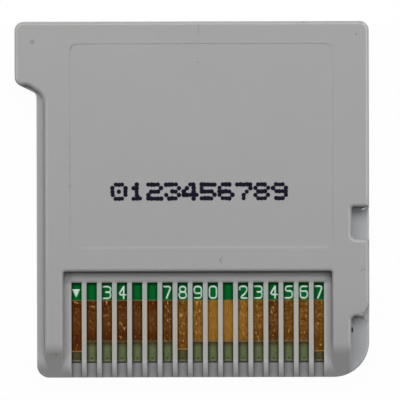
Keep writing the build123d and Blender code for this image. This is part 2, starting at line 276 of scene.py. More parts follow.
class Wire:
    """A socket of a shader tree. Arithmetic on wires adds Math nodes, and node() adds any other node."""

    def __init__(self, tree, socket=None):
        self.tree = tree
        self.socket = socket

    def node(self, kind, settings=None, sockets=None, out=0):
        """Adds a node, sets its settings, then fills or links its sockets, and gives one of its outputs."""
        made = self.tree.nodes.new(kind)
        for name, value in (settings or {}).items():
            setattr(made, name, value)
        for name, value in (sockets or {}).items():
            self.fill(made.inputs[name], value)
        return Wire(self.tree, made.outputs[out] if len(made.outputs) else None)

    def fill(self, socket, value):
        """Links a wire to a socket, or sets the socket's own value."""
        if isinstance(value, Wire):
            self.tree.links.new(value.socket, socket)
        elif socket.type == "RGBA":
            socket.default_value = (*value, 1.0)
        else:
            socket.default_value = value

    def math(self, operation, *values):
        return self.node("ShaderNodeMath", {"operation": operation}, dict(enumerate(values)))

    def vector(self, operation, *values, out=0):
        return self.node("ShaderNodeVectorMath", {"operation": operation}, dict(enumerate(values)), out)

    def __add__(self, other):
        return self.math("ADD", self, other)

    def __radd__(self, other):
        return self.math("ADD", other, self)

    def __sub__(self, other):
        return self.math("SUBTRACT", self, other)

    def __rsub__(self, other):
        return self.math("SUBTRACT", other, self)

    def __mul__(self, other):
        return self.math("MULTIPLY", self, other)

    def __truediv__(self, other):
        return self.math("DIVIDE", self, other)

    def __abs__(self):
        return self.math("ABSOLUTE", self)

    def floor(self):
        return self.math("FLOOR", self)

    def larger(self, other):
        return self.math("MAXIMUM", self, other)

    def smooth(self, low, high):
        """0 at low, 1 at high and an S-curve between, flat beyond; it falls where low is above high."""
        return self.node(
            "ShaderNodeMapRange",
            {"interpolation_type": "SMOOTHSTEP"},
            {"Value": self, "From Min": low, "From Max": high},
        )

    def near(self, middle, reach, core):
        """1 within core of a value, fading to 0 at reach from it."""
        return abs(self - middle).smooth(reach, core)

    def mix(self, first, second):
        """The first colour where this wire is 0 and the second where it is 1."""
        return self.node("ShaderNodeMix", {"data_type": "RGBA"}, {0: self, 6: first, 7: second}, out=2)

    def parts(self):
        """The X, Y and Z of a vector."""
        split = self.node("ShaderNodeSeparateXYZ", None, {0: self})
        outputs = split.socket.node.outputs
        return tuple(Wire(self.tree, output) for output in outputs)


def new_finish(name):
    """An empty material and a wire into its tree."""
    material = bpy.data.materials.new(name)
    material.use_nodes = True
    material.node_tree.nodes.clear()
    return material, Wire(material.node_tree)


def close_finish(root, sockets):
    """Ends a tree with a Principled shader that takes these sockets."""
    shader = root.node("ShaderNodeBsdfPrincipled", None, sockets)
    root.node("ShaderNodeOutputMaterial", None, {"Surface": shader})


def place_of(root):
    """Object coordinates in millimetres."""
    place = root.node("ShaderNodeTexCoord", out="Object")
    return place.vector("MULTIPLY", place, (1 / MM,) * 3)


def normal_of(root):
    """The surface's own normal."""
    return root.node("ShaderNodeNewGeometry", out="Normal")


def noise(place, size, detail=2.0, stretch=(1, 1, 1)):
    """Cloudy noise whose clouds are about size millimetres across, drawn out along each axis by stretch."""
    scale = tuple(1 / (size * factor) for factor in stretch)
    vector = place.vector("MULTIPLY", place, scale)
    return place.node("ShaderNodeTexNoise", None, {"Vector": vector, "Scale": 1.0, "Detail": detail})


def bump(root, height, tall, normal=None):
    """A normal from a height between 0 and 1 that stands tall metres high over the surface.

    A given normal takes the place of the surface's own.
    """
    sockets = {"Height": height, "Distance": tall, "Strength": 1.0}
    if normal:
        sockets["Normal"] = normal
    return root.node("ShaderNodeBump", None, sockets)


def tinted(tone, factor):
    """A colour made lighter or darker."""
    return tuple(min(1.0, value * factor) for value in tone)


# Scale of the 400 x 400 picture, and the pixel that shows the card's origin
PIXELS_PER_MM = 10.09
ORIGIN_PIXEL = (192.0, 199.45)

# Marks that the picture shows, placed by its pixels, with sizes in millimetres
# A spot: x, y, half width, half height, softness of its rim, strength
SPECKS = (
    (32.9, 41.7, 0.3, 0.3, 0.5, 0.65),
    (356.5, 34.5, 0.13, 0.13, 0.5, 1.0),
    (303.5, 22.9, 0.1, 0.1, 0.5, 1.0),
    (198.5, 62.5, 0.11, 0.11, 0.5, 1.0),
    (56.0, 354.0, 0.22, 0.22, 0.9, 0.8),
)
GREASY_CORNERS = (
    (26.0, 29.0, 0.7, 0.55, 0.9, 1.0),
    (71.0, 28.0, 0.75, 0.35, 0.9, 1.0),
)
CORNER_SMUDGE = ((54.0, 354.0, 0.9, 0.7, 0.9, 0.5),)
# Painted shadow at the feet of two walls, at the window's upper right and in the relief's corner
SHADED_WALL_FEET = (
    (330.5, 275.5, 0.7, 0.7, 0.9, 0.3),
    (354.8, 317.2, 0.4, 0.13, 0.8, 0.5),
)
NOTCH_GRIT = ((357.5, 212.5, 0.65, 0.22, 0.9, 0.5),)
# Painted shade that blacks out the vent in the relief's wall
RELIEF_VENT_SHADE = ((351.2, 330.3, 0.2, 0.34, 0.35, 0.95),)
# A line: x and y of its start, x and y of its end, half width, strength
SCRATCHES_AND_SHADE_LINES = (
    # A crack and scratches
    (198.9, 24.0, 198.9, 37.0, 0.09, 0.3),
    (222.0, 257.5, 219.5, 260.5, 0.09, 0.7),
    (219.5, 260.5, 221.5, 263.0, 0.09, 0.7),
    (360.5, 271.0, 364.5, 269.0, 0.09, 0.7),
    # Painted shade along the sunk panel's left edge, with darker dashes of dirt
    (70.0, 131.0, 70.0, 192.0, 0.07, 0.15),
    (70.0, 145.0, 70.0, 147.0, 0.08, 0.35),
    (70.0, 164.5, 70.0, 171.0, 0.08, 0.3),
    (70.0, 185.5, 70.0, 187.0, 0.09, 0.6),
    # Painted shade at the sunk panel's upper corners
    (70.6, 49.5, 72.0, 46.5, 0.1, 0.6),
    (72.0, 46.5, 77.0, 44.2, 0.1, 0.4),
    (321.0, 44.0, 328.0, 45.5, 0.08, 0.22),
    (328.0, 45.5, 331.3, 49.5, 0.08, 0.22),
    (331.3, 49.5, 332.2, 54.0, 0.08, 0.12),
    # Painted shade at the foot of the grip tab's wall
    (24.5, 85.4, 31.0, 87.2, 0.09, 0.8),
    (28.0, 85.0, 34.0, 87.0, 0.06, 0.6),
    (31.0, 87.2, 38.0, 92.0, 0.1, 1.0),
    (38.0, 92.0, 42.3, 97.5, 0.08, 0.9),
)
# Painted highlights at the sunk panel's lower edge and the relief wall's rim, and painted light at the right
# end of the relief's upper wall
PAINTED_HIGHLIGHT_LINES = (
    (82.0, 247.4, 327.0, 247.4, 0.2, 0.17),
    (349.8, 346.0, 350.2, 371.0, 0.2, 0.18),
    (360.6, 316.0, 362.0, 316.0, 0.32, 0.9),
)
# Single places: x, y
RAMP_FOOT = (362.0, 323.0)
RAMP_TOP = (368.0, 302.0)
FLASH_START = (360.9, 209.8)
FLASH_END = (366.6, 207.6)


def picture_point(x, y):
    """A place on the card, in millimetres, from a pixel of the picture."""
    return (x - ORIGIN_PIXEL[0]) / PIXELS_PER_MM, (ORIGIN_PIXEL[1] - y) / PIXELS_PER_MM


def spot(place, middle, half_x, half_y, soft):
    """1 inside an ellipse on the XY plane, with a soft rim; sizes in millimetres."""
    offset = place.vector("SUBTRACT", place, (*middle, 0))
    scaled = offset.vector("MULTIPLY", offset, (1 / half_x, 1 / half_y, 0))
    return scaled.vector("LENGTH", scaled, out="Value").smooth(1.0, 1.0 - soft)


def scratch(place, start, end, half):
    """1 on the line from start to end on the XY plane, fading to 0 at half its width."""
    run = (end[0] - start[0], end[1] - start[1], 0)
    squared = run[0] ** 2 + run[1] ** 2
    offset = place.vector("SUBTRACT", place, (*start, 0))
    flat = offset.vector("MULTIPLY", offset, (1, 1, 0))
    along = flat.vector("DOT_PRODUCT", flat, run, out="Value") / squared
    held = along.math("MINIMUM", along.larger(0.0), 1.0)
    foot = held.node("ShaderNodeCombineXYZ", None, {0: held * run[0], 1: held * run[1]})
    return flat.vector("DISTANCE", flat, foot, out="Value").smooth(half, 0.3 * half)


def drawn_spots(place, spots):
    """The sum of some spots."""
    return sum(
        spot(place, picture_point(x, y), half_x, half_y, soft) * strength
        for x, y, half_x, half_y, soft, strength in spots
    )


def drawn_lines(place, lines):
    """The sum of some lines."""
    return sum(
        scratch(place, picture_point(*ends[:2]), picture_point(*ends[2:]), half) * strength
        for *ends, half, strength in lines
    )


def contact_side(z):
    """1 above the rounded rim of the label side."""
    return z.smooth(LABEL_RIM_HEIGHT, LABEL_RIM_HEIGHT + 0.2)


def below_face(z):
    """1 on the contact side below the rounded edges of its face."""
    return z.smooth(FACE - 0.18, FACE - 0.3) * contact_side(z)


def across_pitch(x):
    """The number of the contact that a place belongs to, and the way from its middle in pitches."""
    turn = (x - FIRST_PAD_X / MM) / PITCH + 0.5
    return turn.floor() + 1.0, turn - turn.floor() - 0.5


def in_comb(x, margin):
    """1 over the width of the comb and a margin beside it, in millimetres."""
    half = COMB_HALF + PITCH / 2 + margin
    return x.near(COMB_MIDDLE, half + 0.1, half)


def edges_painted_highlight(root, place, base, tone, look):
    """Painted highlight: rounded edges are paler where they start to turn from the face.

    Edges that face the contact edge are left as they are. Those round the window, at the ledge and at the
    grip end get less of it, and the right side above the notch gets most.
    """
    x, y = place.parts()[:2]
    lean_x, lean_y, lean_z = normal_of(root).parts()
    turned = lean_z.smooth(0.998, 0.97) * lean_z.smooth(0.55, 0.85) * lean_y.smooth(-0.3, -0.05)
    window = y.smooth(WINDOW_TOP + 2.2, WINDOW_TOP) * x.smooth(WINDOW_RIGHT + 1.2, WINDOW_RIGHT + 0.7)
    ledge = lean_x.smooth(-0.1, -0.3) * x.smooth(LEDGE_WALL + 1.1, LEDGE_WALL + 0.6)
    ledge = ledge * y.smooth(TAB_FOOT + 0.5, TAB_FOOT - 0.5)
    grip_end = lean_y.smooth(0.1, 0.3)
    spared = (grip_end * 0.75).larger(window * 0.8).larger(ledge * 0.6)
    # Painted highlight where the rounded edges turn from the face
    base = (turned * (1.0 - spared) * look.edge_highlight).mix(base, tinted(tone, 1.3))
    # A stronger painted highlight on the right side above the notch
    right = lean_x.smooth(0.1, 0.3) * x.smooth(RIGHT_SIDE - 1.0, RIGHT_SIDE - 0.5)
    right = right * y.smooth(NOTCH_TOP + 0.3, NOTCH_TOP + 1.8)
    return (turned * right * 0.6).mix(base, tinted(tone, 1.55))


def ribs_rubbed_and_painted_light(place, base, look):
    """The comb's ribs have rubbed tops and pale tips. Beside the board their tops take a painted green
    reflection, and the margins beside the outer slots are lightened as painted light against the walls'
    shade.
    """
    x, y, z = place.parts()
    top = z.near(RIB_TOP, 0.3, 0.1) * y.smooth(SLOT_TOP + 0.1, SLOT_TOP - 0.4)
    beside = y.smooth(PAD_TOP, PAD_TOP - 0.2)
    beyond = y.smooth(PAD_END + 0.1, PAD_END - 0.2)
    # Beside the board the rib tops take a green tint, a painted reflection of the lacquer
    tone = beyond.mix(beside.mix(look.rubbed_ends_green_reflection, look.rubbed), look.rubbed_tips)
    base = (top * in_comb(x, -0.1)).mix(base, tone)
    off = abs(x - COMB_MIDDLE)
    outer = COMB_HALF + SLOT_WIDTH / 2
    # Painted light: the margins beside the outer slots are lightened against the shade of the window's walls
    margin = off.smooth(outer - 0.1, outer) * off.smooth(outer + 0.65, outer - 0.1)
    base = (margin * top * 0.7).mix(base, tinted(look.rear, 1.35))
    tips = y.smooth(BOARD_FRONT + 0.35, BOARD_FRONT + 0.1) * y.smooth(CONTACT_EDGE + 0.1, CONTACT_EDGE + 0.5)
    between_slots = abs(across_pitch(x)[1]).smooth(SLOT_HALF + 0.007, SLOT_HALF + 0.027)
    return (tips * between_slots * in_comb(x, -0.1) * contact_side(z)).mix(base, tinted(look.rear, 1.2))


def slot_edges_painted_shade(place, base, look):
    """Painted shade: the slots have dark left brinks and inner ends, and the shelf darkens towards them."""
    x, y, z = place.parts()
    level = z.near(RIB_TOP, 0.2, 0.1)
    offset = across_pitch(x)[1]
    shade = tinted(look.dirt_and_shade, 0.4)
    # Painted shade at the left brinks, so that the slots look wider
    brink = offset.near(-SLOT_HALF - 0.007, 0.03, 0.015) * in_comb(x, 0.0) * contact_side(z)
    brink = brink * y.smooth(SLOT_TOP, SLOT_TOP - 0.1) * y.smooth(CONTACT_EDGE, CONTACT_EDGE + 1.8)
    base = (brink * 0.8).mix(base, shade)
    end = y.smooth(SLOT_TOP + 0.2, SLOT_TOP + 0.02) * y.smooth(SLOT_TOP - 0.2, SLOT_TOP - 0.1)
    end = end * level * abs(offset).smooth(SLOT_HALF + 0.037, SLOT_HALF - 0.003) * in_comb(x, 0.0)
    base = (end * 0.6).mix(base, shade)
    shelf = y.smooth(SLOT_TOP - 0.1, SLOT_TOP) * y.smooth(SLOT_TOP + 0.5, SLOT_TOP + 0.1)
    return (shelf * level * in_comb(x, 0.4) * 0.25).mix(base, look.dirt_and_shade)


def slot_floors_dirt_and_shade(place, base, look):
    """The slots' floors past the board are darkened as dirt and painted shade, with painted shade at their
    walls and a painted shadow at the board's edge.
    """
    x, y, z = place.parts()
    across = abs(across_pitch(x)[1])
    inside = across.smooth(SLOT_HALF + 0.017, SLOT_HALF - 0.003) * in_comb(x, 0.0) * contact_side(z)
    floors = inside * y.smooth(BOARD_FRONT + 0.1, BOARD_FRONT) * z.smooth(BOARD_TOP + 0.1, BOARD_TOP)
    base = (floors * 0.24).mix(base, look.dirt_and_shade)
    # Painted shade of the ribs at the floors' sides
    walls = across.smooth(SLOT_HALF - 0.113, SLOT_HALF - 0.013)
    base = (floors * walls * 0.45).mix(base, tinted(look.dirt_and_shade, 0.5))
    # Painted shadow in the gap at the board's edge
    board_edge = y.smooth(BOARD_FRONT - 0.2, BOARD_FRONT - 0.05)
    return (floors * board_edge * 0.6).mix(base, tinted(look.dirt_and_shade, 0.3))


def painted_shade_at_walls(place, base, look):
    """Painted shadow: thin dark lines at the feet of the walls round the window, at the ledge and in the
    notch, and spots at the feet of two walls.
    """
    x, y, z = place.parts()
    black = tinted(look.dirt_and_shade, 0.25)
    window = y.near(WINDOW_TOP, 0.17, 0.04) * in_comb(x, 0.55) * z.smooth(FACE - 0.04, FACE - 0.2)
    base = (window * contact_side(z) * 0.7).mix(base, black)
    depth = x.smooth(-1.0, 1.0) * 0.2 + y.smooth(WINDOW_TOP - 2.0, WINDOW_TOP - 0.3) * 0.35 + 0.1
    side = abs(x - COMB_MIDDLE).near(WINDOW_HALF, 0.2, 0.04) * depth
    side = side * y.smooth(WINDOW_TOP + 0.1, WINDOW_TOP) * y.smooth(BEVEL_TOP - 0.2, BEVEL_TOP + 1.3)
    ledge = x.near(LEDGE_WALL, 0.2, 0.05) * y.smooth(TAB_FOOT - 0.5, TAB_FOOT - 1.5)
    ledge = ledge * y.smooth(BEVEL_TOP - 0.7, BEVEL_TOP + 0.3)
    notch = y.near(NOTCH_TOP, 0.15, 0.04) * x.smooth(NOTCH_WALL - 0.1, NOTCH_WALL + 0.1)
    notch = notch * x.smooth(RIGHT_SIDE - 0.2, RIGHT_SIDE - 0.9)
    feet = (notch * 0.5).larger(side).larger(ledge * 0.2).larger(drawn_spots(place, SHADED_WALL_FEET))
    return (feet * below_face(z)).mix(base, black)


def grit_and_vent_shade(place, base, look):
    """Grit lies under the notch's wall, and painted shade makes the vent in the relief's wall and the floor
    round its opening nearly black.
    """
    z = place.parts()[2]
    grit = noise(place, 0.12).smooth(0.45, 0.6) * drawn_spots(place, NOTCH_GRIT)
    base = (grit * below_face(z)).mix(base, look.dirt_and_shade)
    vent = drawn_spots(place, RELIEF_VENT_SHADE) * z.smooth(LAND + 0.5, LAND + 0.4) * contact_side(z)
    return vent.mix(base, tinted(look.dirt_and_shade, 0.05))


def marked_by_use(place, base, look):
    """The contact side's ledge lightened as painted light, greasy corners, smudge, painted highlight
    lines, specks, scratches and painted shade lines.

    Painted shade darkens the face a little towards the lower right.
    """
    x, y, z = place.parts()
    face = z.smooth(FACE - 1.1, FACE - 0.9)
    ledge = x.smooth(LEDGE_WALL + 0.1, LEDGE_WALL - 0.1) * z.smooth(FACE - 0.5, FACE - 0.7)
    # Painted light on the ledge, which lies in the shade of its wall
    base = ledge.mix(base, tinted(look.rear, 1.07))
    grease = drawn_spots(place, GREASY_CORNERS) * noise(place, 0.5)
    base = (grease * face * 0.8).mix(base, look.stain)
    base = (drawn_spots(place, CORNER_SMUDGE) * face).mix(base, tinted(look.stain, 0.85))
    # Painted highlights and painted light along a few lines
    base = drawn_lines(place, PAINTED_HIGHLIGHT_LINES).mix(base, tinted(look.rear, 1.6))
    painted_falloff = y.smooth(WINDOW_TOP - 0.8, WINDOW_TOP - 6.8) * x.smooth(-RIGHT_SIDE - 0.5, RIGHT_SIDE - 1.5)
    # Painted shade: the face darkens a little towards the lower right
    base = (painted_falloff * z.smooth(FACE - 0.2, FACE - 0.1) * 0.07).mix(base, look.dirt_and_shade)
    marks = drawn_lines(place, SCRATCHES_AND_SHADE_LINES) + drawn_spots(place, SPECKS)
    # Scratches and specks, with painted shade lines at the panel's outline and the grip tab's foot
    return (marks * face * 0.5).mix(base, look.dirt_and_shade)


def seam_line(root, place, base, look):
    """A dark hairline round the sides where the shells meet."""
    sideways = abs(normal_of(root).parts()[2]).smooth(0.5, 0.2)
    half = look.seam_half / MM
    return (place.parts()[2].near(SEAM, half, 0.3 * half) * sideways * 0.6).mix(base, look.dirt_and_shade)


def painted_light_ramp_end(root, place):
    """1 on the slope that ends the relief's ramp at the card's side, which faces the contact edge; the shell
    is made paler there as painted light.
    """
    x, y, z = place.parts()
    facing = normal_of(root).parts()[1].smooth(-0.15, -0.4)
    low_x, low_y = picture_point(*RAMP_FOOT)
    high_y = picture_point(*RAMP_TOP)[1]
    across = x.smooth(low_x, low_x + 0.3) * y.smooth(low_y, low_y + 0.1) * y.smooth(high_y + 0.1, high_y)
    return facing * across * z.smooth(LAND - 0.01, LAND + 0.01)


def eased_normal(root, ease):
    """The surface's own normal, leaning to straight up by the share ease."""
    own = normal_of(root)
    lean = own.node("ShaderNodeMix", {"data_type": "VECTOR"}, {0: ease, 4: own, 5: (0, 0, 1)}, out=1)
    return lean.vector("NORMALIZE", lean)


def shell_plastic(name, tone, look, marked):
    """Matt moulded plastic: fine grain, faint clouds, painted highlights on rounded edges, wear, dirt,
    painted light and shade, and a dark line at the seam.
    """
    material, root = new_finish(name)
    place = place_of(root)
    clouds = noise(place, 6.0, detail=3.0) * 0.6 + noise(place, 0.9) * 0.4
    base = clouds.mix(tinted(tone, 1 - look.mottle), tinted(tone, 1 + look.mottle))
    base = edges_painted_highlight(root, place, base, tone, look)
    layers = [ribs_rubbed_and_painted_light, slot_edges_painted_shade, slot_floors_dirt_and_shade, painted_shade_at_walls, grit_and_vent_shade]
    if marked:
        layers.insert(0, marked_by_use)
    for layer in layers:
        base = layer(place, base, look)
    base = seam_line(root, place, base, look)
    slope = painted_light_ramp_end(root, place)
    # Painted light: the ramp's end slope, which faces away from the main lamps, is made much paler
    base = slope.mix(base, tinted(tone, 1.6))
    grain = noise(place, look.grain_size / MM, detail=3.0)
    close_finish(root, {
        "Base Color": base,
        "Roughness": grain * 0.12 + (look.roughness - 0.06),
        "Normal": bump(root, grain, look.grain_height, eased_normal(root, slope * 0.8)),
    })
    return material


def mask_edge(look):
    """The Y where the lacquer ends, in metres: it covers the inner end of each contact."""
    return FIRST_PAD_HIGH.y - look.mask_overlap


def weave_of(place, pitch):
    """The crossing ridges of a plain weave: the product of two sine waves turned to lie between 0 and 1."""
    phase = place.vector("MULTIPLY", place, (2 * math.pi / pitch,) * 3)
    x, y = phase.parts()[:2]
    return x.math("SINE", x) * y.math("SINE", y) * 0.5 + 0.5


def lacquer_end(y, look):
    """1 where the lacquer covers the board, and the pale line where it ends."""
    edge = mask_edge(look) / MM
    return y.smooth(edge - 0.02, edge + 0.02), y.near(edge, 0.07, 0.02) * 0.35


def stubs_of(x, y, look):
    """1 on the small dark stub of cut plating ahead of each contact."""
    radius = look.stub_radius / MM
    across = across_pitch(x)[1] * PITCH
    down = y - (BOARD_FRONT + look.stub_offset / MM)
    squared = across * across + down * down
    return squared.math("SQRT", squared).smooth(radius, 0.375 * radius)


def bare_laminate(place, weave, look):
    """Bare glass laminate: woven and mottled, browned beside the contacts, with stubs and a pale bevel."""
    x, y = place.parts()[:2]
    base = noise(place, 0.6, detail=3.0).mix(look.laminate_shade, look.laminate)
    base = (weave * 0.25).mix(base, tinted(look.laminate, 1.15))
    fleck = noise(place, 0.22)
    base = (fleck.smooth(0.5, 0.7) * 0.35).mix(base, tinted(look.laminate, 1.25))
    base = (fleck.smooth(0.5, 0.3) * 0.35).mix(base, tinted(look.laminate_shade, 0.7))
    base = (y.smooth(PAD_END - 0.64, PAD_END + 0.01) * 0.8).mix(base, tinted(look.tarnish_and_shade, 0.7))
    number = across_pitch(x)[0]
    long_slots = sum(number.near(contact, 0.6, 0.4) for contact in LONG_CONTACTS)
    base = (long_slots * 0.55).mix(base, tinted(look.tarnish_and_shade, 0.6))
    base = (stubs_of(x, y, look) * 0.85).mix(base, tinted(look.laminate_shade, 0.35))
    return y.smooth(BOARD_FRONT + 0.2, BOARD_FRONT + 0.1).mix(base, look.laminate_edge)


def board_laminate(look):
    """Green lacquer with a faint weave, then bare laminate past the contacts, shaded at the slots' walls."""
    material, root = new_finish("board_laminate")
    place = place_of(root)
    x, y, z = place.parts()
    weave = weave_of(place, look.weave_pitch / MM)
    upper = z.smooth(BOARD_TOP - 0.05, BOARD_TOP - 0.02)
    lacquer = noise(place, 0.8).mix(tinted(look.mask, 0.93), tinted(look.mask, 1.06))
    covered, rim = lacquer_end(y, look)
    covered = covered.larger(z.smooth(BOARD_TOP - 0.3, BOARD_TOP - 0.4))
    base = covered.mix(bare_laminate(place, weave, look), lacquer)
    walls = abs(across_pitch(x)[1]).smooth(SLOT_HALF - 0.213, SLOT_HALF + 0.027)
    shaded = walls.larger(y.smooth(SLOT_TOP - 0.35, SLOT_TOP - 0.02))
    base = (shaded * upper * 0.75).mix(base, tinted(look.laminate_shade, 0.08))
    close_finish(root, {
        "Base Color": (rim * upper).mix(base, look.mask_rim),
        "Roughness": covered * -0.28 + 0.5,
        "Specular IOR Level": 0.03,
        "Normal": bump(root, weave, 0.004 * MM),
    })
    return material


# How the contacts' plating varies, by their numbers
CLEANEST_CONTACT = 10.8         # the plating is browner away from here
CLEAN_REACH = 4.7
CALM_PAIRS = (5.5, 10.5)        # middles of two pairs that the springs hardly scuffed
LAST_LEFT_CONTACT = 3           # up to here the outer ends are hardly scuffed
FIRST_RIGHT_CONTACT = 13        # from here the plating has brown bands


def brushed_gold(brushed, clean, look):
    """Plating between browned and clean, with fine light and dark streaks along it."""
    base = clean.mix(look.tarnish_and_shade, look.gold)
    base = (brushed.smooth(0.45, 0.75) * (clean * 0.16 + 0.08)).mix(base, tinted(look.scuff, 0.8))
    return (brushed.smooth(0.5, 0.3) * (clean * 0.3 + 0.05)).mix(base, tinted(look.tarnish_and_shade, 0.8))


def aged_gold(place, base, number, look):
    """A faint rubbed middle, and brown bands and ends on the contacts at the right."""
    y = place.parts()[1]
    middle = y.near((PAD_TOP + PAD_END) / 2, 1.6, 0.4)
    base = (middle * 0.05).mix(base, look.scuff)
    bands = noise(place, 0.3, stretch=(4, 1, 1)).smooth(0.4, 0.65) * 0.45
    ends = y.smooth(PAD_END + 1.5, PAD_END + 0.7) * 0.3
    right = number.smooth(FIRST_RIGHT_CONTACT - 0.8, FIRST_RIGHT_CONTACT)
    return (bands.larger(ends) * right).mix(base, tinted(look.tarnish_and_shade, 0.7))


def scuffed_gold(place, base, number, patches, look):
    """Bright scuffs of the reader's springs and dark stains, fewer on contacts that were hardly touched."""
    x, y = place.parts()[:2]
    across = abs(across_pitch(x)[1])
    calm = sum(number.near(pair, 1.3, 0.4) for pair in CALM_PAIRS)
    touched = 1.0 - calm * 0.8
    left = number.smooth(LAST_LEFT_CONTACT + 0.6, LAST_LEFT_CONTACT + 0.4)
    spared = left * y.smooth(PAD_END + 2.7, PAD_END + 1.5) * 0.7
    worn = patches.smooth(0.57, 0.69) * across.smooth(0.3, 0.12) * touched * (1.0 - spared)
    base = (worn * 0.7).mix(base, look.scuff)
    stains = noise(place, 0.27, detail=3.0, stretch=(1, 1.8, 1)).smooth(0.5, 0.36) * touched
    return (stains * 0.4).mix(base, tinted(look.tarnish_and_shade, 0.45))


def worn_and_lit_outer_end(place, base, end, longer, look):
    """The colour at the outer end, and how far the plating is gone there.

    The longer contacts have a painted highlight on their outer edge, and the others have lost some plating.
    """
    y = place.parts()[1]
    bright = y.near(end + 0.06, 0.09, 0.02) * (look.end_highlight if longer else 0.0)
    ragged = y + noise(place, 0.25) * 0.25
    gone = ragged.smooth(end + 0.45, end + 0.1) * (0.0 if longer else look.faded_end)
    return gone.mix(bright.mix(base, look.scuff), tinted(look.laminate_shade, 0.85)), gone


def contact_gold(name, look, pad_end, longer):
    """Gold plating, browner towards both sides and scuffed lengthways by the reader's springs.

    The slot's walls shade its sides, and the lacquer covers its inner end. Its outer end is at pad_end, in
    metres along Y.
    """
    material, root = new_finish(name)
    place = place_of(root)
    x, y = place.parts()[:2]
    number, offset = across_pitch(x)
    cleaner_right = number.smooth(FIRST_RIGHT_CONTACT - 0.5, len(PAD_NAMES) - 1) * 0.5
    clean = number.near(CLEANEST_CONTACT, CLEAN_REACH, 0.0).larger(cleaner_right)
    brushed = noise(place, 0.08, stretch=(1, 8, 1))
    patches = noise(place, 0.19, detail=3.0, stretch=(1, 2.2, 1))
    base = brushed_gold(brushed, clean, look)
    base = aged_gold(place, base, number, look)
    base = scuffed_gold(place, base, number, patches, look)
    # Painted shade at the slot's walls
    walls = abs(offset).smooth(SLOT_HALF - 0.133, SLOT_HALF - 0.003)
    base = (walls * (0.9 - clean * 0.6)).mix(base, tinted(look.tarnish_and_shade, 0.2))
    base, gone = worn_and_lit_outer_end(place, base, pad_end / MM, longer, look)
    covered, rim = lacquer_end(y, look)
    close_finish(root, {
        "Base Color": rim.mix(covered.mix(base, look.mask), look.mask_rim),
        "Metallic": 1.0 - covered.larger(rim).larger(gone),
        "Roughness": patches * 0.2 + 0.3,
        "Normal": bump(root, brushed, 0.0015 * MM),
    })
    return material


def cloudy_finish(name, tones, size, roughness, height, more_sockets=None):
    """A finish with fine clouds between two tones and two roughnesses, standing height millimetres high."""
    material, root = new_finish(name)
    clouds = noise(place_of(root), size, detail=3.0)
    smoothest, roughest = roughness
    close_finish(root, {
        "Base Color": clouds.mix(*tones),
        "Roughness": clouds * (roughest - smoothest) + smoothest,
        "Normal": bump(root, clouds, height * MM),
        **(more_sockets or {}),
    })
    return material


def chip_resin(look):
    """Black moulding resin with a fine sandy surface."""
    tones = (look.resin, look.resin_grain)
    return cloudy_finish("chip_resin", tones, size=0.09, roughness=(0.55, 0.7), height=0.006)


def tinned_lead(look):
    """Dull tin plating on the chips' legs."""
    tones = (look.tin, look.bright_tin)
    metal = {"Metallic": 1.0}
    return cloudy_finish("tinned_lead", tones, 0.15, roughness=(0.3, 0.5), height=0.003, more_sockets=metal)


def printing(name, tone, smoothest, cloud_size):
    """A thin opaque print film, a little uneven in tone."""
    tones = (tinted(tone, 0.88), tinted(tone, 1.1))
    roughness = (smoothest, smoothest + 0.2)
    dull = {"Specular IOR Level": 0.08}
    return cloudy_finish(name, tones, cloud_size, roughness, height=0.002, more_sockets=dull)


def small_component(name, body, look):
    """A coated block with tinned ends, along the longer side of its own box."""
    material, root = new_finish(name)
    place = place_of(root)
    low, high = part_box(name)
    axis = 0 if high.x - low.x > high.y - low.y else 1
    middle = (high[axis] + low[axis]) / 2 / MM
    coated = ((high[axis] - low[axis]) / 2 - look.terminal_length) / MM
    soft = 0.02
    ends = abs(place.parts()[axis] - middle).smooth(coated - soft, coated + soft)
    clouds = noise(place, 0.12, detail=3.0)
    close_finish(root, {
        "Base Color": ends.mix(clouds.mix(tinted(body, 0.9), tinted(body, 1.08)), look.terminal),
        "Metallic": ends,
        "Roughness": clouds * 0.15 + 0.35,
        "Normal": bump(root, clouds, 0.003 * MM),
    })
    return material


def dress(names, material):
    """Puts a material in every slot of these CAD nodes."""
    for name in names:
        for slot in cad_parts[name].material_slots:
            slot.material = material


def turns(count):
    """The angles of even steps round a circle."""
    return np.arange(count) * 2 * math.pi / count


def grid_quads(rows, columns, wrap_rows=False, wrap_columns=False):
    """Corner numbers of the quads of a rows by columns grid of points, joined round where it wraps."""
    down = np.arange(rows if wrap_rows else rows - 1)
    along = np.arange(columns if wrap_columns else columns - 1)
    row, column = np.meshgrid(down, along, indexing="ij")
    next_row = (row + 1) % rows
    next_column = (column + 1) % columns
    corners = (
        row * columns + column,
        row * columns + next_column,
        next_row * columns + next_column,
        next_row * columns + column,
    )
    return np.stack(corners, axis=-1).reshape(-1, 4)


def add_piece(name, points, quads, material):
    """A mesh object from points and quads, with doubles merged, faces turned outwards and smooth shading."""
    mesh = bpy.data.meshes.new(name)
    mesh.from_pydata(points.reshape(-1, 3).tolist(), [], quads.tolist())
    sheet = bmesh.new()
    sheet.from_mesh(mesh)
    bmesh.ops.remove_doubles(sheet, verts=sheet.verts, dist=MERGE_DISTANCE)
    bmesh.ops.recalc_face_normals(sheet, faces=sheet.faces)
    sheet.to_mesh(mesh)
    sheet.free()
    mesh.shade_smooth()
    mesh.materials.append(material)
    piece = bpy.data.objects.new(name, mesh)
    bpy.context.scene.collection.objects.link(piece)
    return piece


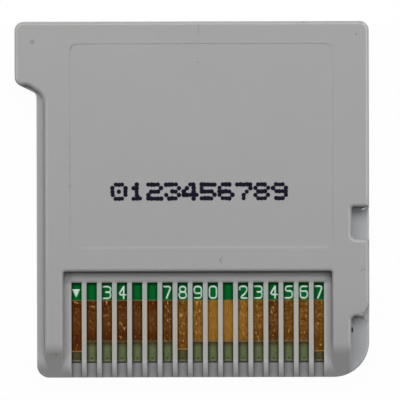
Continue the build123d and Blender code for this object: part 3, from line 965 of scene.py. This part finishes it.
# The ink-jet digits: five rows of five cells, with 1 for a dot
DOT_ROWS = {
    "0": ("01110", "10001", "10101", "10001", "01110"),
    "1": ("00100", "01100", "00100", "00100", "01110"),
    "2": ("11110", "00001", "01110", "10000", "11111"),
    "3": ("11110", "00001", "00110", "10001", "01110"),
    "4": ("00110", "01010", "10010", "11111", "00010"),
    "5": ("11111", "10000", "11110", "00001", "11110"),
    "6": ("01110", "10000", "11110", "10001", "01110"),
    "7": ("11111", "00001", "00010", "00100", "00100"),
    "8": ("01110", "10001", "01110", "10001", "01110"),
    "9": ("01110", "10001", "01111", "00001", "01110"),
}


def dot_places(code):
    """Middles of the ink dots: each digit's five rows of five, at the digit, column and row pitches."""
    cells = np.array([[[int(cell) for cell in row] for row in DOT_ROWS[digit]] for digit in code.digits])
    digit, row, column = np.nonzero(cells)
    x = code.left + digit * code.digit_pitch + column * code.column_pitch
    y = code.top - row * code.row_pitch
    return np.stack((x, y), axis=-1)


def ink_dots(code):
    """Flat ellipsoids on the sunk panel: x and y go round a circle that grows as sin v, z falls as cos v."""
    random = np.random.default_rng(code.seed)
    places = dot_places(code)
    places = places + random.uniform(-code.scatter, code.scatter, places.shape)
    rings = 7
    spokes = 16
    v, u = np.meshgrid(np.linspace(0, math.pi, rings), turns(spokes), indexing="ij")
    unit = np.stack((np.sin(v) * np.cos(u), np.sin(v) * np.sin(u), np.cos(v)), axis=-1)
    count = len(places)
    radii = code.dot / 2 * random.uniform(1 - code.spread, 1 + code.spread, (count, 1, 1, 1))
    semi_axes = np.concatenate((radii, radii, np.full_like(radii, code.film)), axis=-1)
    level = REAR_HIGH.z - code.panel_depth
    middles = np.concatenate((places, np.full((count, 1), level)), axis=1)
    points = middles[:, None, None, :] + unit * semi_axes
    starts = np.arange(count)[:, None, None] * rings * spokes
    quads = grid_quads(rings, spokes, wrap_columns=True)[None] + starts
    return points, quads.reshape(-1, 4)


# Centre lines of the printed digits in a box of width 1 and height 1. A stroke is its points, then whether
# it is closed.
STROKES = {
    0: (((0, 0), (1, 0), (1, 1), (0, 1), True),),
    1: (((0.2, 0.72), (0.6, 1), (0.6, 0), False),),
    2: (((0, 0.72), (0, 1), (1, 1), (1, 0.52), (0, 0), (1, 0), False),),
    3: (
        ((0, 1), (1, 1), (1, 0.53), (0.35, 0.53), False),
        ((0.35, 0.53), (1, 0.53), (1, 0), (0, 0), False),
    ),
    4: (
        ((0.72, 1), (0, 0.3), (1, 0.3), False),
        ((0.72, 1), (0.72, 0), False),
    ),
    5: (((0.95, 1), (0.08, 1), (0.04, 0.58), (1, 0.62), (1, 0), (0, 0), False),),
    6: (
        ((0.95, 0.98), (0, 1), (0, 0), (1, 0), (1, 0.58), (0.5, 0.58), False),
        ((0.5, 0.58), (0, 0.58), False),
    ),
    7: (((0, 1), (1, 1), (0.35, 0), False),),
    8: (
        ((0.08, 0.53), (0.92, 0.53), (0.92, 1), (0.08, 1), True),
        ((0, 0), (1, 0), (1, 0.53), (0, 0.53), True),
    ),
    9: (
        ((0.05, 0.02), (1, 0), (1, 1), (0, 1), (0, 0.42), (0.5, 0.42), False),
        ((0.5, 0.42), (1, 0.42), False),
    ),
}
STROKE_RISE = 0.2          # how far a digit's second stroke stands over its first, as a share of the film
DIGIT_ROUNDING = 0.45      # radius of a digit's corners, as a share of its width
PRINTED_CONTACTS = (3, 4, 7, 8, 9, 10, 12, 13, 14, 15, 16, 17)


def rounded_path(corners, closed, radius, steps=8):
    """Corners, each eased by a quadratic curve that starts and ends radius away, or halfway if nearer."""
    before = np.roll(corners, 1, axis=0) - corners
    after = np.roll(corners, -1, axis=0) - corners

    def reach(side):
        size = np.linalg.norm(side, axis=1, keepdims=True)
        return side / size * np.minimum(radius, size / 2)

    t = np.linspace(0, 1, steps)[None, :, None]
    start = (corners + reach(before))[:, None]
    end = (corners + reach(after))[:, None]
    curve = (1 - t) ** 2 * start + 2 * t * (1 - t) * corners[:, None] + t ** 2 * end
    if closed:
        return curve.reshape(-1, 2)
    return np.concatenate((corners[:1], curve[1:-1].reshape(-1, 2), corners[-1:]))


def with_round_ends(path, half, steps=6):
    """An open path longer by half a stroke at both ends, and half widths that follow half circles there."""
    d = np.sin(np.linspace(0, math.pi / 2, steps))[1:, None]
    first = path[0] - path[1]
    last = path[-1] - path[-2]
    head = path[0] + d[::-1] * half * first / np.linalg.norm(first)
    tail = path[-1] + d * half * last / np.linalg.norm(last)
    cap = half * np.sqrt(1 - d[:, 0] ** 2)
    widths = np.concatenate((cap[::-1], np.full(len(path), half), cap))
    return np.concatenate((head, path, tail)), widths


def ribbon(path, widths, closed, low, high):
    """A flat band: its four long edges lie a half width to each side of the path, at two levels."""
    if closed:
        tangent = np.roll(path, -1, axis=0) - np.roll(path, 1, axis=0)
    else:
        tangent = np.gradient(path, axis=0)
    tangent = tangent / np.linalg.norm(tangent, axis=1, keepdims=True)
    side = np.stack((-tangent[:, 1], tangent[:, 0]), axis=1) * widths[:, None]
    left = path + side
    right = path - side
    lines = [(left, low), (left, high), (right, high), (right, low)]
    points = np.stack(
        [np.concatenate((line, np.full((len(line), 1), level)), axis=1) for line, level in lines], axis=1
    )
    return points, grid_quads(len(path), 4, wrap_rows=closed, wrap_columns=True)


def printed_digit(digit, middle, look):
    """The ribbons of one digit, centred at a place on the board."""
    width = look.print_width - look.print_stroke
    height = look.print_height - look.print_stroke
    half = look.print_stroke / 2
    low = BOARD_HIGH.z - look.print_film
    for order, (*corners, closed) in enumerate(STROKES[digit]):
        high = BOARD_HIGH.z + look.print_film * (1 + STROKE_RISE * order)
        placed = (np.array(corners) - 0.5) * (width, height) + middle
        path = rounded_path(placed, closed, DIGIT_ROUNDING * width)
        widths = np.full(len(path), half)
        if not closed:
            path, widths = with_round_ends(path, half)
        yield ribbon(path, widths, closed, low, high)


def first_contact_mark(look):
    """A filled triangle that points at the first contact: rings of its rounded outline and a skirt below."""
    middle_x = FIRST_PAD_X - look.mark_shift
    middle_y = mask_edge(look) + look.print_gap + look.print_height * look.mark_rise
    corners = np.array(((-0.5, 0.5), (0, -0.5), (0.5, 0.5))) * look.mark_side + (middle_x, middle_y)
    outline = rounded_path(corners, True, look.mark_corner)
    low = BOARD_HIGH.z - look.print_film
    high = BOARD_HIGH.z + look.print_film
    centre = corners.mean(axis=0)
    shares = np.array((0.0, 0.5, 1.0, 1.0))
    levels = np.array((high, high, high, low))
    flat = centre + (outline - centre)[None] * shares[:, None, None]
    heights = np.broadcast_to(levels[:, None, None], (*flat.shape[:2], 1))
    points = np.concatenate((flat, heights), axis=-1)
    return points, grid_quads(len(shares), len(outline), wrap_columns=True)


def board_marks(look):
    """The triangle and the last digit of the contact numbers, as one set of points and quads."""
    sheets = [first_contact_mark(look)]
    middle_y = mask_edge(look) + look.print_gap + look.print_height / 2
    for number in PRINTED_CONTACTS:
        middle = (FIRST_PAD_X + (number - 1) * PAD_PITCH, middle_y)
        sheets.extend(printed_digit(number % 10, middle, look))
    points = [sheet[0].reshape(-1, 3) for sheet in sheets]
    starts = np.cumsum([0] + [len(part) for part in points[:-1]])
    quads = [sheet[1] + start for sheet, start in zip(sheets, starts)]
    return np.concatenate(points), np.concatenate(quads)


def flash_sliver(look):
    """A sliver of moulding flash: an oval along a short arc, shrinking as a half circle to both ends.

    The arc leaves the straight line between its ends as a parabola.
    """
    steps = 17
    spokes = 10
    start = np.array((*picture_point(*FLASH_START), FACE - FLASH_START_DEPTH)) * MM
    end = np.array((*picture_point(*FLASH_END), FACE - FLASH_END_DEPTH)) * MM
    t = np.linspace(-1, 1, steps)[:, None]
    u = turns(spokes)
    size = np.sqrt(1 - t ** 2)
    path = (start + end) / 2 + (end - start) / 2 * t + np.array((0, -look.flash_sag, 0)) * (1 - t ** 2)
    across = look.flash_width / 2 * size * np.cos(u)
    thick = look.flash_thickness / 2 * size * np.sin(u)
    points = path[:, None, :] + np.stack((np.zeros_like(across), across, thick), axis=-1)
    return points, grid_quads(steps, spokes, wrap_columns=True)


def floor_dish(stage):
    """A round floor: flat for a share of its radius, then the height rises as a quarter ellipse."""
    rings = 41
    spokes = 96
    flat = 0.8
    r, u = np.meshgrid(np.linspace(0, 1, rings), turns(spokes), indexing="ij")
    rise = np.clip((r - flat) / (1 - flat), 0, 1)
    x = r * np.cos(u) * stage.floor_radius
    y = r * np.sin(u) * stage.floor_radius
    z = stage.floor_rim * (1 - np.sqrt(1 - rise ** 2)) - stage.floor_gap
    return np.stack((x, y, z), axis=-1), grid_quads(rings, spokes, wrap_columns=True)


def floor_finish(stage):
    """Pale floor that the camera sees as plain white with a faint shadow, and that is clear from below."""
    material, root = new_finish("floor")
    path = root.node("ShaderNodeLightPath", out="Is Camera Ray")
    outputs = path.socket.node.outputs
    seen = path + Wire(root.tree, outputs["Is Glossy Ray"]) + Wire(root.tree, outputs["Is Transmission Ray"])
    shadow = Wire(root.tree, outputs["Is Shadow Ray"])
    below = root.node("ShaderNodeNewGeometry", out="Backfacing")
    matt = root.node("ShaderNodeBsdfDiffuse", None, {"Color": stage.floor})
    white = root.node("ShaderNodeEmission", None, {"Color": (1, 1, 1), "Strength": stage.white})
    clear = root.node("ShaderNodeBsdfTransparent")
    pale = root.node("ShaderNodeMixShader", None, {0: seen * stage.glow, 1: matt, 2: white})
    shader = root.node("ShaderNodeMixShader", None, {0: below.larger(shadow), 1: pale, 2: clear})
    root.node("ShaderNodeOutputMaterial", None, {"Surface": shader})
    return material


def add_lamp(name, stage, size, azimuth, tilt, light):
    """A flat lamp aimed at the card, at an azimuth from +X and a tilt from straight above, in radians.

    Its power gives a flat face light times as much as shows white as white.
    """
    lamp = bpy.data.lights.new(name, "AREA")
    lamp.shape = "RECTANGLE"
    lamp.size, lamp.size_y = size
    lamp.energy = light * (math.pi * stage.lamp_distance) ** 2 / abs(math.cos(tilt))
    across = math.sin(tilt)
    lean = Vector((math.cos(azimuth) * across, math.sin(azimuth) * across, math.cos(tilt)))
    holder = bpy.data.objects.new(name, lamp)
    holder.location = lean * stage.lamp_distance
    holder.rotation_euler = lean.to_track_quat("Z", "Y").to_euler()
    holder.visible_camera = False
    bpy.context.scene.collection.objects.link(holder)


def add_lamps(stage):
    """Two lamps towards the grip end, a wide and a narrow one to each side, and one under the card."""
    ahead = math.pi / 2
    wide = (stage.key_width, stage.lamp_height)
    square = (stage.side_width, stage.lamp_height)
    narrow = (stage.side_width, stage.rim_height)
    add_lamp("key", stage, wide, ahead, stage.key_tilt, stage.key_level)
    add_lamp("top", stage, wide, ahead, stage.top_tilt, stage.top_level)
    for side, azimuth, turn in (("right", 0, stage.side_turn), ("left", math.pi, -stage.side_turn)):
        add_lamp(side, stage, square, azimuth + turn, stage.side_tilt, stage.side_level)
        add_lamp(f"{side}_rim", stage, narrow, azimuth, stage.rim_tilt, stage.rim_level)
    add_lamp("under", stage, square, 0, math.pi, stage.under_level)


def add_fill(stage):
    """Even white light from all round."""
    world = bpy.data.worlds.new("fill")
    world.use_nodes = True
    backdrop = world.node_tree.nodes["Background"]
    backdrop.inputs["Color"].default_value = (1, 1, 1, 1)
    backdrop.inputs["Strength"].default_value = stage.fill_level
    bpy.context.scene.world = world


def add_camera(stage):
    """A long lens straight above the card, at the distance where the picture has its width at the face."""
    camera = bpy.data.cameras.new("camera")
    camera.lens = stage.lens
    distance = stage.picture_width * camera.lens / camera.sensor_width
    camera.clip_start = 0.01 * distance
    camera.clip_end = 20 * distance
    holder = bpy.data.objects.new("camera", camera)
    holder.location = (stage.aim_x, stage.aim_y, REAR_HIGH.z + distance)
    holder.rotation_euler.z = stage.roll
    bpy.context.scene.collection.objects.link(holder)
    bpy.context.scene.camera = holder


class CARTRIDGE_OT_finish_shells(Operator):
    """Gives the two shells their moulded plastic"""

    bl_idname = "cartridge.finish_shells"
    bl_label = "Finish the shells"

    def execute(self, context):
        look = context.scene.cartridge_shell
        dress(["rear_shell"], shell_plastic("rear_plastic", look.rear, look, True))
        dress(["front_shell"], shell_plastic("front_plastic", look.front, look, False))
        return {"FINISHED"}


class CARTRIDGE_OT_finish_board(Operator):
    """Gives the board its lacquer and laminate, and the contacts their plating"""

    bl_idname = "cartridge.finish_board"
    bl_label = "Finish the board and contacts"

    def execute(self, context):
        look = context.scene.cartridge_board
        dress(["circuit_board"], board_laminate(look))
        for number, (name, pad_end) in enumerate(zip(PAD_NAMES, PAD_ENDS), 1):
            dress([name], contact_gold(name, look, pad_end, number in LONG_CONTACTS))
        return {"FINISHED"}


class CARTRIDGE_OT_finish_components(Operator):
    """Gives the chips, their leads and the small components their finishes"""

    bl_idname = "cartridge.finish_components"
    bl_label = "Finish the components"

    def execute(self, context):
        look = context.scene.cartridge_components
        dress(["game_memory", "save_memory"], chip_resin(look))
        dress(["game_memory_leads", "save_memory_leads"], tinned_lead(look))
        for name in COMPONENT_NAMES:
            body = look.capacitor if name.startswith("capacitor_") else look.resistor
            dress([name], small_component(name, body, look))
        return {"FINISHED"}


class CARTRIDGE_OT_print_code(Operator):
    """Prints the ink-jet count on the sunk panel"""

    bl_idname = "cartridge.print_code"
    bl_label = "Print the count"

    def execute(self, context):
        code = context.scene.cartridge_code
        ink = printing("code_ink", code.ink, smoothest=0.35, cloud_size=0.2)
        piece = add_piece("ink_code", *ink_dots(code), ink)
        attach(piece, BODY)
        return {"FINISHED"}


class CARTRIDGE_OT_print_board(Operator):
    """Prints the triangle and the contact digits on the board's lacquer"""

    bl_idname = "cartridge.print_board"
    bl_label = "Print the board"

    def execute(self, context):
        look = context.scene.cartridge_board
        ink = printing("board_ink", look.print_tone, smoothest=0.5, cloud_size=0.25)
        piece = add_piece("board_print", *board_marks(look), ink)
        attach(piece, BODY)
        return {"FINISHED"}


class CARTRIDGE_OT_add_flash(Operator):
    """Adds the sliver of moulding flash in the latch notch"""

    bl_idname = "cartridge.add_flash"
    bl_label = "Add the flash"

    def execute(self, context):
        look = context.scene.cartridge_shell
        # The flash's plastic is made a quarter paler as painted light, so that the sliver shows bright in
        # the notch's shade
        plastic = shell_plastic("flash_plastic_lightened", tinted(look.rear, 1.25), look, False)
        piece = add_piece("notch_flash", *flash_sliver(look), plastic)
        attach(piece, BODY)
        return {"FINISHED"}


class CARTRIDGE_OT_set_stage(Operator):
    """Sets up the floor, the light and the camera"""

    bl_idname = "cartridge.set_stage"
    bl_label = "Set the stage"

    def execute(self, context):
        stage = context.scene.cartridge_stage
        floor = add_piece("floor", *floor_dish(stage), floor_finish(stage))
        if floor.data.polygons[0].normal.z < 0:
            floor.data.flip_normals()
        add_lamps(stage)
        add_fill(stage)
        add_camera(stage)
        context.scene.view_settings.view_transform = "Standard"
        return {"FINISHED"}


OPERATORS = (
    CARTRIDGE_OT_finish_shells,
    CARTRIDGE_OT_finish_board,
    CARTRIDGE_OT_finish_components,
    CARTRIDGE_OT_print_code,
    CARTRIDGE_OT_print_board,
    CARTRIDGE_OT_add_flash,
    CARTRIDGE_OT_set_stage,
)
LOOKS = {
    "cartridge_shell": ShellLook,
    "cartridge_board": BoardLook,
    "cartridge_components": ComponentLook,
    "cartridge_code": CodeLook,
    "cartridge_stage": StageLook,
}


class CARTRIDGE_PT_looks(Panel):
    """Lists the steps and the values of the cartridge's looks"""

    bl_label = "Game Cartridge"
    bl_idname = "CARTRIDGE_PT_looks"
    bl_space_type = "VIEW_3D"
    bl_region_type = "UI"
    bl_category = "Cartridge"

    def draw(self, context):
        for name, look in LOOKS.items():
            box = self.layout.box()
            for value in look.__annotations__:
                box.prop(getattr(context.scene, name), value)
        for step in OPERATORS:
            self.layout.operator(step.bl_idname)


CLASSES = (*LOOKS.values(), *OPERATORS, CARTRIDGE_PT_looks)


def register():
    for entry in CLASSES:
        bpy.utils.register_class(entry)
    for name, look in LOOKS.items():
        setattr(bpy.types.Scene, name, PointerProperty(type=look))


def unregister():
    for name in LOOKS:
        delattr(bpy.types.Scene, name)
    for entry in reversed(CLASSES):
        bpy.utils.unregister_class(entry)


def main():
    register()
    bpy.ops.cartridge.finish_shells()
    bpy.ops.cartridge.finish_board()
    bpy.ops.cartridge.finish_components()
    bpy.ops.cartridge.print_code()
    bpy.ops.cartridge.print_board()
    bpy.ops.cartridge.add_flash()
    bpy.ops.cartridge.set_stage()


if __name__ == "__main__":
    main()
